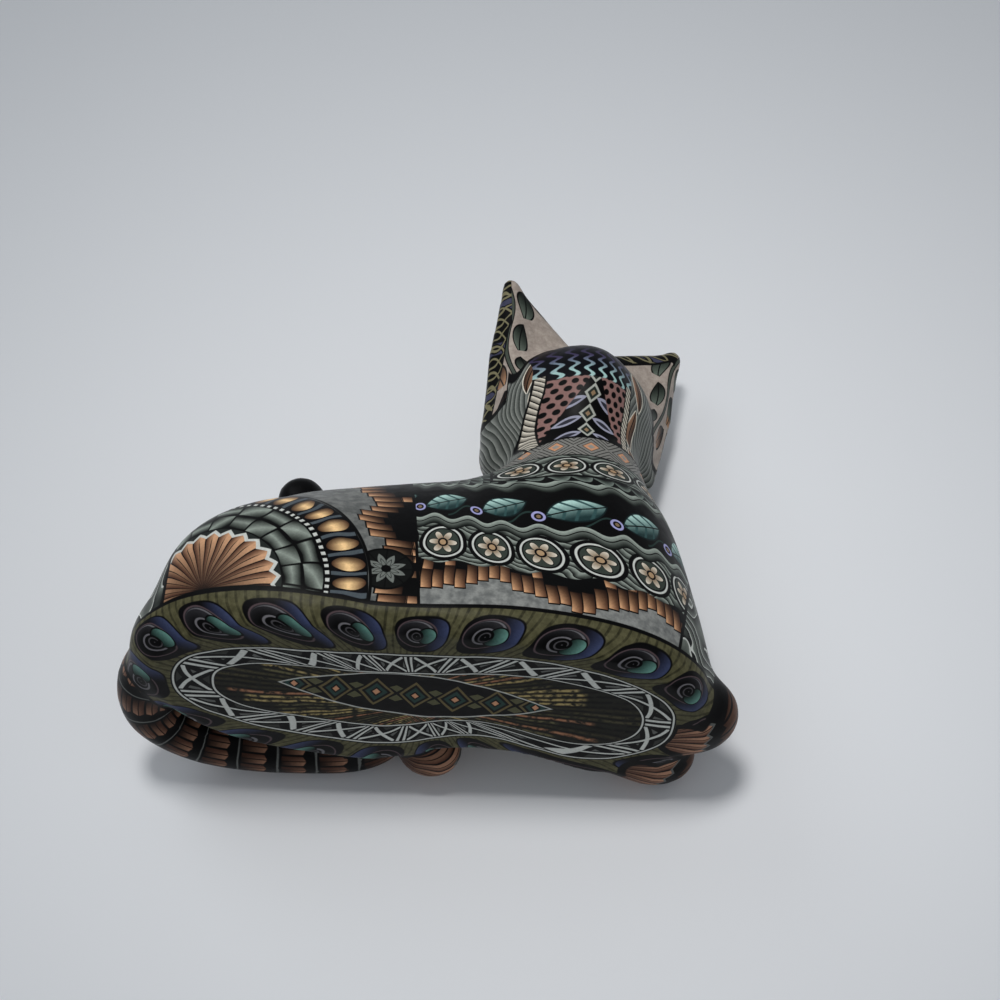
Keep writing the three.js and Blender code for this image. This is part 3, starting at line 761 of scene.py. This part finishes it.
def ear_pattern(p):
    """Taupe with leaf sprigs inside a mesh of gold on black along the edges."""
    edge = attribute("ear_edge") + wander(p, (7, 0, 0), 0.3)
    run = attribute("ear_run") + wander(p, (0, 7, 0), 0.4)
    side = attribute("ear_side")
    grain = noise(p, 800)
    ground = mix(grain.over(0.5, 0.5), clay("a3968a"), clay("998b80"))
    bend = side + (run * 0.35).sin() * 0.8 - 0.6
    k = run.cell(7.0)
    lean = bend.abs() - 1.2
    v = k - lean * 0.9
    leaf = 1.0 - (v / 3.0) * (v / 3.0) - (lean - 1.1).abs() / 1.35
    shade = mix(v.slope(-2, 2), clay("2f3a33"), clay("6d7a6c"))
    autumn = mix(v.slope(-2, 2), BROWN, clay("ad7a4c"))
    shade = mix(side.over(0, 0.2) * run.over(12.5, 1.0), shade, autumn)
    ground = mix(leaf.over(-0.1, 0.1), ground, BLACK)
    ground = mix(leaf.over(0.08, 0.1), ground, shade)
    ground = mix((lean - 1.1).within(0, 0.1, 0.1) * leaf.over(0, 0.1), ground, BLACK)
    ground = mix(bend.abs().under(0.42, 0.12), ground, BLACK)
    ground = mix(bend.abs().under(0.26, 0.12), ground, clay("5c665a"))
    knot = noise(p, 300, 1.0) * 2.4
    a = (run + edge * 1.4 + knot).cell(2.5).abs()
    b = (run - edge * 1.4 - knot).cell(2.5).abs()
    mesh = mix(a.least(b).under(0.24, 0.15), clay("1b1b18"), clay("867f5a"))
    blue = run.cell(8.4).abs().under(1.1, 0.3) * a.least(b).over(0.5, 0.2)
    mesh = mix(blue, mesh, clay("55577c"))
    outer = side.over(0, 0.3)
    left = along(p, LEFTWARD, HEAD).over(0, 0.2)
    wide = mix_numbers(left, 2.1 - outer * 1.1, outer * 1.9 + 1.2)
    mesh = mix((edge - wide).over(-0.3, 0.12), mesh, BLACK)
    return mix((edge - wide).over(0, 0.12), mesh, ground)


def head_pattern(p):
    """Dark crown with waves, a dotted panel between ropes, streaked cheeks, and the face."""
    f = along(p, FACING, HEAD)
    l = along(p, LEFTWARD, HEAD) + wander(p, (8, 0, 0), 0.4)
    u = along(p, UPWARD, HEAD) + wander(p, (0, 8, 0), 0.4)
    side = l.abs()
    leant = l - u * 0.05 - 3.95
    from_seam = leant.abs()
    # crown
    lane = (leant + (u * 2.7).sin() * 0.5).cell(2.1)
    tone = mix(u.slope(-1.0, 3.0), clay("88aca8"), clay("574a80"))
    crown = mix(lane.abs().under(0.34, 0.2), clay("1e2036"), tone)
    crown = mix(u.over(5.0, 3.0), crown, clay("2c2746"))
    # dotted panel
    row = (u / 1.25).floor()
    dot = length(leant.cell(1.5, row * 0.5), u.cell(1.25))
    panel = mix(dot.under(0.47, 0.15), clay("9c7068"), BLACK)
    middle = (from_seam + (u + 2.6) * 0.46).under(1.0, 0.2)
    panel = mix(middle, panel, BLACK)
    reach = from_seam - 2.9
    frond = 1.0 - (reach / 2.1) * (reach / 2.1) - (u.cell(3.4, 0.5) + reach * 0.5).abs() / 0.85
    panel = mix(middle * frond.over(0, 0.1), panel, clay("8f90a4"))
    panel = mix(middle * frond.over(0.55, 0.1), panel, clay("4a4b5c"))
    gem = from_seam / 1.4 + u.cell(3.4).abs() / 1.7
    panel = mix(middle * gem.under(1.0, 0.1), panel, clay("9a9d93"))
    panel = mix(middle * gem.under(0.66, 0.1), panel, clay("3d4a41"))
    panel = mix(middle * gem.under(0.3, 0.1), panel, clay("9a7a52"))
    # rope strips
    twist = (u * 1.1 - leant * 1.1).fract()
    rope = mix(twist.slope(0.1, 0.9), clay("6d675b"), CREAM)
    rope = mix(twist.under(0.2, 0.1), rope, clay("26231f"))
    rope_at = from_seam - ROPE_REACH
    back = mix(u.over(-2.2, 0.15), panel, crown)
    roped = u.under(-1.0, 0.15)
    back = mix(roped * rope_at.over(-0.8, 0.12), back, BLACK)
    back = mix(roped * rope_at.within(0, 0.58, 0.12), back, rope)
    # green-grey fur on the cheeks, with long leaves beside the rope
    turn = l.angle(-f) * 14.0
    k = (turn - 4.4).abs() - 10.6 + (u * 0.5).sin() * 0.4
    v = u.cell(8.5, 0.4)
    leaf = 1.0 - (v / 4.3) * (v / 4.3) - (k + v * 0.1).abs() / 1.25
    flame = mix(k.slope(-1.1, 1.2), clay("a9774f"), clay("51301e"))
    flame = mix((k + v * 0.1).within(0, 0.12, 0.1), flame, BLACK)
    streak = (turn * 0.9 + noise(p, 90, 1.0) * 6.0 + (u * 0.4).sin()).fract()
    cheek = mix(streak.slope(0, 1), clay("4a514c"), clay("8b8f88"))
    cheek = mix(leaf.over(-0.14, 0.1), cheek, CREAM)
    cheek = mix(leaf.over(0.05, 0.1), cheek, flame)
    colour = mix((rope_at - 0.8).over(0, 0.12).most(f.over(2.0, 0.2)), back, cheek)
    # face: fine stripes on taupe, with ringed eyes and a dark nose
    stripe = (side * 0.9 + u * 0.5 + (u * 0.8).sin() * 0.5).fract()
    face = mix(stripe.slope(0, 0.8), clay("8b8074"), clay("4d5a50"))
    face = mix(stripe.under(0.14, 0.1), face, BLACK)
    pad = length((side - 2.6) / 3.1, (u + 5.2) / 2.4)
    whisker = length((side - 0.4).cell(1.5), u.cell(1.3)).under(0.2, 0.12) * pad.under(0.8, 0.1)
    muzzle = f.over(6.0, 0.3)
    face = mix(muzzle * pad.under(1.08, 0.06), face, BLACK)
    face = mix(muzzle * pad.under(0.98, 0.06), face, clay("968b7c"))
    face = mix(muzzle * whisker, face, BLACK)
    face = mix(muzzle * side.under(0.2, 0.12) * (u + 4.4).abs().under(1.4, 0.2), face, BLACK)
    colour = mix((f + u * 0.3).over(6.0, 0.3), colour, face)
    across = side - 0.38 * HEAD_HALF
    rise = u - 0.08 * HEAD_HALF
    eye = length(across, rise * 1.25 - across * 0.25)
    front = f.over(9, 0.5)
    colour = mix(front * eye.under(3.1, 0.12), colour, BLACK)
    colour = mix(front * eye.under(2.6, 0.12), colour, mix(rise.slope(-2, 2), GOLD, clay("5f7a3c")))
    slit = length(across * 2.6, rise)
    colour = mix(front * slit.under(2.0, 0.15), colour, BLACK)
    nose = f.over(9.0, 0.4) * ((u + 3.9) * 0.8 - side).over(0, 0.15) * u.under(-1.8, 0.15)
    return mix(nose, colour, BROWN)


def nape_pattern(p):
    """A grey band of diamonds over rosettes where the neck leaves the body."""
    f = along(p, FACING, HEAD)
    l = along(p, LEFTWARD, HEAD)
    z = along(p, UPWARD, (0, 0, 0)) + f * 0.12 + wander(p, (9, 0, 0), 0.3)
    turn = l.angle(-f) * 11.0 + wander(p, (0, 9, 0), 0.4)
    k = turn.cell(4.9)
    gem = k.abs() / 2.3 + (z - NAPE_GEM_MIDDLE).abs() / 2.6
    band = mix(gem.cell(0.34).abs().under(0.045, 0.04), clay("84837d"), clay("3c3c3b"))
    band = mix(gem.under(0.5, 0.06), band, ORANGE)
    band = mix(gem.under(0.25, 0.06), band, clay("8e8d86"))
    band = mix(z.within(NAPE_GEM_MIDDLE, 2.7, 0.12), BLACK, band)
    m = turn.cell(5.6, 0.5)
    v = z - NAPE_ROUNDEL_MIDDLE
    row = ripple_ground(p, turn, z)
    r = length(m, v)
    radius = NAPE_ROUNDEL_RADIUS
    row = mix(r.under(radius, 0.12), row, rosette(r, v.angle(m), 5, radius))
    return mix(z.over(NAPE_BAND, 0.15), row, band)


def swirl_pattern(p):
    """Green-grey swirls down the chest and the rump."""
    swirl = noise(p, 75, 1.0)
    fine = noise(p, 190, 2.0)
    lane = (swirl * 17 + fine * 1.6).fract()
    colour = mix(lane.slope(0, 1), clay("262d29"), clay("7c857b"))
    colour = mix(lane.over(0.9, 0.05), colour, PALE)
    return mix(lane.under(0.14, 0.08), colour, BLACK)


# Width over which one zone's clay gives way to the next
BLUR = 0.12


class Place:
    """What the borders between zones are drawn from: by nodes, or by numbers for each point."""

    def __init__(self, x, z, f, haunch, read):
        self.x = x
        self.z = z
        self.f = f
        self.haunch = haunch
        self.read = read


def below(level, z):
    """How far a height lies below a level, or 0 above it."""
    return (level - z).most(0.0) if isinstance(z, Num) else np.maximum(level - z, 0)


def clear_of_rim(at):
    """Over 0 outside the rim or above it."""
    beyond, above = at.read("beyond"), at.z - 6.0
    return beyond.most(above) if isinstance(beyond, Num) else np.maximum(beyond, above)


# Each zone: its name, its pattern, and the numbers that are all over 0 inside it.
# Later ones lie on top.
ZONES = (
    ("flank", flank_pattern, lambda at: ()),
    ("loin", brick_pattern, lambda at: (-0.5 - at.x - at.z * 0.1,)),
    ("haunch", haunch_pattern, lambda at: (HAUNCH_END - at.haunch,)),
    ("rump", swirl_pattern, lambda at: (-41.0 - at.x,)),
    ("chest", swirl_pattern, lambda at: (at.x - at.z * 0.12 - 40.0,)),
    ("nape", nape_pattern, lambda at: (at.z + at.f * 0.12 - 36.1, at.x - 9.0)),
    ("head", head_pattern, lambda at: (at.z + at.f * 0.3 - 46.1,)),
    ("ear", ear_pattern, lambda at: (
        3.4 - at.read("ear_gap") - below(62.0, at.z) * 0.45, at.z - 55.0,
    )),
    ("underside", rim_pattern, lambda at: (at.read("rim") - 0.1,)),
    ("tail", tail_pattern, lambda at: (0.5 - at.read("tail_gap"), clear_of_rim(at))),
    ("paws", paw_pattern, lambda at: (0.55 - at.read("paw_gap"), clear_of_rim(at))),
)


def edge_of(bounds):
    """How far inside a zone a place lies, from the numbers that bound it."""
    least = bounds[0]
    for bound in bounds[1:]:
        least = least.least(bound) if isinstance(least, Num) else np.minimum(least, bound)
    return least


def zones_near(mesh, points):
    """Which zones lie at each point or within a few faces of it, as the bits of a number."""
    def read(name):
        return array_of(mesh.attributes[name].data, "value")

    x, z = points[:, 0], points[:, 2]
    away = points - np.array(HEAD)
    f = away @ np.array(FACING)
    folded = points * (1, 0, 1) - (0, 1, 0) * np.abs(points)
    at = Place(x, z, f, np.linalg.norm(folded - np.array(HAUNCH), axis=1), read)
    near = np.ones(len(points), int)
    for i, (_, _, bounds) in enumerate(ZONES):
        if i:
            near[edge_of(bounds(at)) > 0] = 1 << i
    first, last = array_of(mesh.edges, "vertices", 2, np.int32).reshape(-1, 2).T
    for _ in range(3):
        both = near[first] | near[last]
        np.bitwise_or.at(near, first, both)
        np.bitwise_or.at(near, last, both)
    return near


def clay_material(props, name, zones):
    """Clay in the given zones' patterns, with a thin dark line round each on another."""
    material = bpy.data.materials.new(name)
    material.use_nodes = True
    Num.tree = material.node_tree
    shader = Num.tree.nodes["Principled BSDF"]
    p = Num.tree.nodes.new("ShaderNodeTexCoord").outputs["Object"]
    colour = None
    if len(zones) > 1:
        x, y, z = from_haunch(p)
        round_haunch = ((x * x + y * y) + z * z).power(0.5)
        at = Place(x + HAUNCH[0], z + HAUNCH[2], along(p, FACING, HEAD), round_haunch, attribute)
    for _, pattern, bounds in zones:
        if colour is None:
            colour = pattern(p)
            continue
        inside = edge_of(bounds(at))
        colour = mix(inside.over(0, BLUR), colour, pattern(p))
        colour = mix(inside.within(0, 0.24, BLUR), colour, BLACK)
    # dark clays lie darker and light ones lighter than the palette has them
    fine = noise(p, 2600, 2.0)
    grey = Num.tree.nodes.new("ShaderNodeRGBToBW")
    Num.tree.links.new(colour, grey.inputs["Color"])
    depth = Num(grey.outputs[0]).power(props.contrast) * props.lightness * (fine * 0.5 + 0.75)
    shade = Num.tree.nodes.new("ShaderNodeHueSaturation")
    shade.inputs["Saturation"].default_value = 0.85
    Num.tree.links.new(depth.socket, shade.inputs["Value"])
    Num.tree.links.new(colour, shade.inputs["Color"])
    Num.tree.links.new(shade.outputs[0], shader.inputs["Base Color"])

    # sanded satin: a little unevenness of gloss and surface
    soft = noise(p, 420, 3.0)
    gloss = soft.slope(0.3, 0.7) * 0.1 + props.roughness
    Num.tree.links.new(gloss.socket, shader.inputs["Roughness"])
    bump = Num.tree.nodes.new("ShaderNodeBump")
    bump.inputs["Strength"].default_value = 0.3
    bump.inputs["Distance"].default_value = 0.00025
    Num.tree.links.new(noise(p, 300, 3.0).socket, bump.inputs["Height"])
    Num.tree.links.new(bump.outputs[0], shader.inputs["Normal"])
    shader.inputs["Specular IOR Level"].default_value = 0.08
    return material


def dress(piece, props):
    """Gives each face its zone's clay, and faces near a border one that holds the zones there."""
    mesh = piece.data
    near = zones_near(mesh, measure(mesh))
    corners = array_of(mesh.loops, "vertex_index", 1, np.int32)
    starts = array_of(mesh.polygons, "loop_start", 1, np.int32)
    found, of_face = np.unique(np.bitwise_or.reduceat(near[corners], starts), return_inverse=True)
    # a group of zones that lies inside a larger one shares its clay
    groups = []
    for group in sorted((int(g) for g in found), key=int.bit_count, reverse=True):
        if group.bit_count() == 1 or not any(group & kept == group for kept in groups):
            groups.append(group)
    mesh.materials.clear()
    for group in groups:
        zones = [entry for i, entry in enumerate(ZONES) if group >> i & 1]
        name = "_".join(["clay", *(entry[0] for entry in zones)])
        mesh.materials.append(clay_material(props, name, zones))
    index = [
        groups.index(int(g)) if int(g) in groups
        else next(i for i, kept in enumerate(groups) if int(g) & kept == int(g))
        for g in found
    ]
    mesh.polygons.foreach_set("material_index", np.array(index, np.int32)[of_face.ravel()])


class CatSizes(bpy.types.PropertyGroup):
    """Fineness and finish of the cat's skin."""

    voxel: FloatProperty(
        name="Skin fineness", description="Size of the skin's faces", default=0.0005,
        min=0.0004, unit="LENGTH",
    )
    smoothing: IntProperty(
        name="Smoothing", description="Passes that take the solid's facets out", default=10, min=0,
    )
    roughness: FloatProperty(
        name="Roughness", description="Gloss of the sanded clay", default=0.36, subtype="FACTOR",
        min=0, max=1,
    )
    contrast: FloatProperty(
        name="Contrast", description="How much the dark clays deepen", default=0.8, min=0, max=2,
    )
    lightness: FloatProperty(
        name="Lightness", description="Brightness of the light clays", default=2.9, min=0, max=5,
    )


class StageSizes(bpy.types.PropertyGroup):
    """Floor, light and camera."""

    floor_colour: FloatVectorProperty(
        name="Floor", description="Colour of the paper", default=clay("e4e6e9"), subtype="COLOR",
        size=3, min=0, max=1,
    )
    lens: FloatProperty(name="Lens", description="Focal length", default=94.5, unit="CAMERA")
    distance: FloatProperty(
        name="Distance", description="From the camera to the cat's origin", default=0.42,
        unit="LENGTH",
    )


def pick(piece):
    """Makes the piece the only selected object."""
    bpy.ops.object.select_all(action="DESELECT")
    piece.select_set(True)
    bpy.context.view_layer.objects.active = piece


class MakeCat(bpy.types.Operator):
    """The cat's skin, smoothed from its solid, in patterned clay"""

    bl_idname = "clay_cat.cat"
    bl_label = "Cat"

    def execute(self, context):
        props = context.scene.cat_sizes
        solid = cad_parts[NODE]
        piece = bpy.data.objects.new("cat_skin", solid.data.copy())
        context.scene.collection.objects.link(piece)
        pick(piece)
        bpy.ops.object.mode_set(mode="EDIT")
        bpy.ops.mesh.select_all(action="SELECT")
        bpy.ops.mesh.remove_doubles(threshold=1e-6)
        bpy.ops.object.mode_set(mode="OBJECT")
        remesh = piece.modifiers.new("Skin", "REMESH")
        remesh.mode = "VOXEL"
        remesh.voxel_size = props.voxel
        bpy.ops.object.modifier_apply(modifier=remesh.name)
        smooth = piece.modifiers.new("Facets", "SMOOTH")
        smooth.factor = 0.5
        smooth.iterations = props.smoothing
        bpy.ops.object.modifier_apply(modifier=smooth.name)
        bpy.ops.object.shade_smooth()
        dress(piece, props)
        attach(piece, "root")
        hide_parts(NODE)
        return {"FINISHED"}


# The floor that the tipped cat lies on: it touches a forepaw, the tail and the cheek
FLOOR_DOWN = Vector((0.1352, 0.9828, 0.1255)).normalized()


class MakeStage(bpy.types.Operator):
    """Pale paper, soft light and the camera"""

    bl_idname = "clay_cat.stage"
    bl_label = "Stage"

    def execute(self, context):
        props = context.scene.stage_sizes
        skin = bpy.data.objects["cat_skin"]
        reach = max(FLOOR_DOWN.dot(v.co) for v in skin.data.vertices)
        bpy.ops.object.select_all(action="DESELECT")
        bpy.ops.mesh.primitive_plane_add(size=1.0, location=(0, 0, 0))
        floor = context.object
        floor.name = "paper"
        turn = (-FLOOR_DOWN).to_track_quat("Z", "Y").to_matrix().to_4x4()
        floor.data.transform(turn)
        for vertex in floor.data.vertices:
            vertex.co = vertex.co * 5.0 + FLOOR_DOWN * (reach + 0.0001)
        floor.data.materials.append(self.paper(props))
        self.light(context)
        self.camera(context, props)
        return {"FINISHED"}

    def paper(self, props):
        material = bpy.data.materials.new("paper")
        material.use_nodes = True
        tree = material.node_tree
        shader = tree.nodes["Principled BSDF"]
        shader.inputs["Base Color"].default_value = (*props.floor_colour, 1)
        shader.inputs["Roughness"].default_value = 0.6
        shader.inputs["Specular IOR Level"].default_value = 0.25
        sides = tree.nodes.new("ShaderNodeNewGeometry")
        clear = tree.nodes.new("ShaderNodeBsdfTransparent")
        both = tree.nodes.new("ShaderNodeMixShader")
        tree.links.new(sides.outputs["Backfacing"], both.inputs["Fac"])
        tree.links.new(shader.outputs[0], both.inputs[1])
        tree.links.new(clear.outputs[0], both.inputs[2])
        tree.links.new(both.outputs[0], tree.nodes["Material Output"].inputs["Surface"])
        return material

    def light(self, context):
        up = -FLOOR_DOWN
        right = Vector((1, 0, 0))
        away = up.cross(right).normalized()
        world = bpy.data.worlds.new("room")
        world.use_nodes = True
        world.node_tree.nodes["Background"].inputs["Color"].default_value = (*clay("dfe3e8"), 1)
        world.node_tree.nodes["Background"].inputs["Strength"].default_value = 0.46
        context.scene.world = world
        centre = Vector((0.015, 0, 0.03))
        for name, offset, radius, power, colour, cone in (
            ("window", up * 0.85 + away * 0.12 - right * 0.08, 0.13, 23.0, (1.0, 0.99, 0.98), 21),
            ("sky", up * 0.6 - right * 0.6 + away * 0.5, 0.3, 6.0, (0.9, 0.96, 1.0), 60),
            ("fill", away * 0.3 - up * 0.55 - right * 0.3, 0.2, 6.0, (0.97, 0.98, 1.0), 70),
        ):
            data = bpy.data.lights.new(name, "SPOT")
            data.shadow_soft_size = radius
            data.energy = power
            data.color = colour
            data.spot_size = math.radians(cone)
            data.spot_blend = 1.0
            # the fill reaches the cat's left side past the paper that it lies on
            data.use_shadow = name != "fill"
            lamp = bpy.data.objects.new(name, data)
            context.scene.collection.objects.link(lamp)
            lamp.location = centre + offset
            lamp.rotation_mode = "QUATERNION"
            lamp.rotation_quaternion = offset.to_track_quat("Z", "Y")

    def camera(self, context, props):
        below = math.radians(35)
        roll = math.radians(5.6)
        back = Vector((0, -math.cos(below), -math.sin(below)))
        level = Vector((1, 0, 0))
        rise = Vector((0, -math.sin(below), math.cos(below)))
        right = math.cos(roll) * level + math.sin(roll) * rise
        up = -math.sin(roll) * level + math.cos(roll) * rise
        # the cat's origin shows left of and below the middle of the picture
        pixels = props.lens / 36 * 1000
        aim = (-back + right * (85 / pixels) + up * (200 / pixels)).normalized()
        side = aim.cross(up).normalized()
        data = bpy.data.cameras.new("camera")
        data.lens = props.lens
        data.sensor_width = 36
        data.clip_start = 0.01
        data.clip_end = 20
        camera = bpy.data.objects.new("camera", data)
        context.scene.collection.objects.link(camera)
        camera.location = back * props.distance
        axes = [side, side.cross(aim), -aim]
        camera.matrix_world = self.frame_of(axes, camera.location)
        context.scene.camera = camera
        context.scene.view_settings.view_transform = "Standard"

    @staticmethod
    def frame_of(axes, location):
        matrix = Matrix.Identity(4)
        for column, axis in enumerate(axes):
            for row in range(3):
                matrix[row][column] = axis[row]
        matrix.translation = location
        return matrix


class CatPanel(bpy.types.Panel):
    """Lists the pieces and their sizes"""

    bl_idname = "VIEW3D_PT_clay_cat"
    bl_label = "Clay cat"
    bl_space_type = "VIEW_3D"
    bl_region_type = "UI"
    bl_category = "Clay cat"

    def draw(self, context):
        for kind, title in ((MakeCat, "cat_sizes"), (MakeStage, "stage_sizes")):
            box = self.layout.box()
            sizes = getattr(context.scene, title)
            for name in sizes.bl_rna.properties.keys():
                if name not in ("rna_type", "name"):
                    box.prop(sizes, name)
            box.operator(kind.bl_idname)


CLASSES = (CatSizes, StageSizes, MakeCat, MakeStage, CatPanel)


def register():
    for kind in CLASSES:
        bpy.utils.register_class(kind)
    bpy.types.Scene.cat_sizes = PointerProperty(type=CatSizes)
    bpy.types.Scene.stage_sizes = PointerProperty(type=StageSizes)


def unregister():
    del bpy.types.Scene.stage_sizes
    del bpy.types.Scene.cat_sizes
    for kind in reversed(CLASSES):
        bpy.utils.unregister_class(kind)


def main():
    register()
    bpy.ops.clay_cat.cat()
    bpy.ops.clay_cat.stage()


if __name__ == "__main__":
    main()
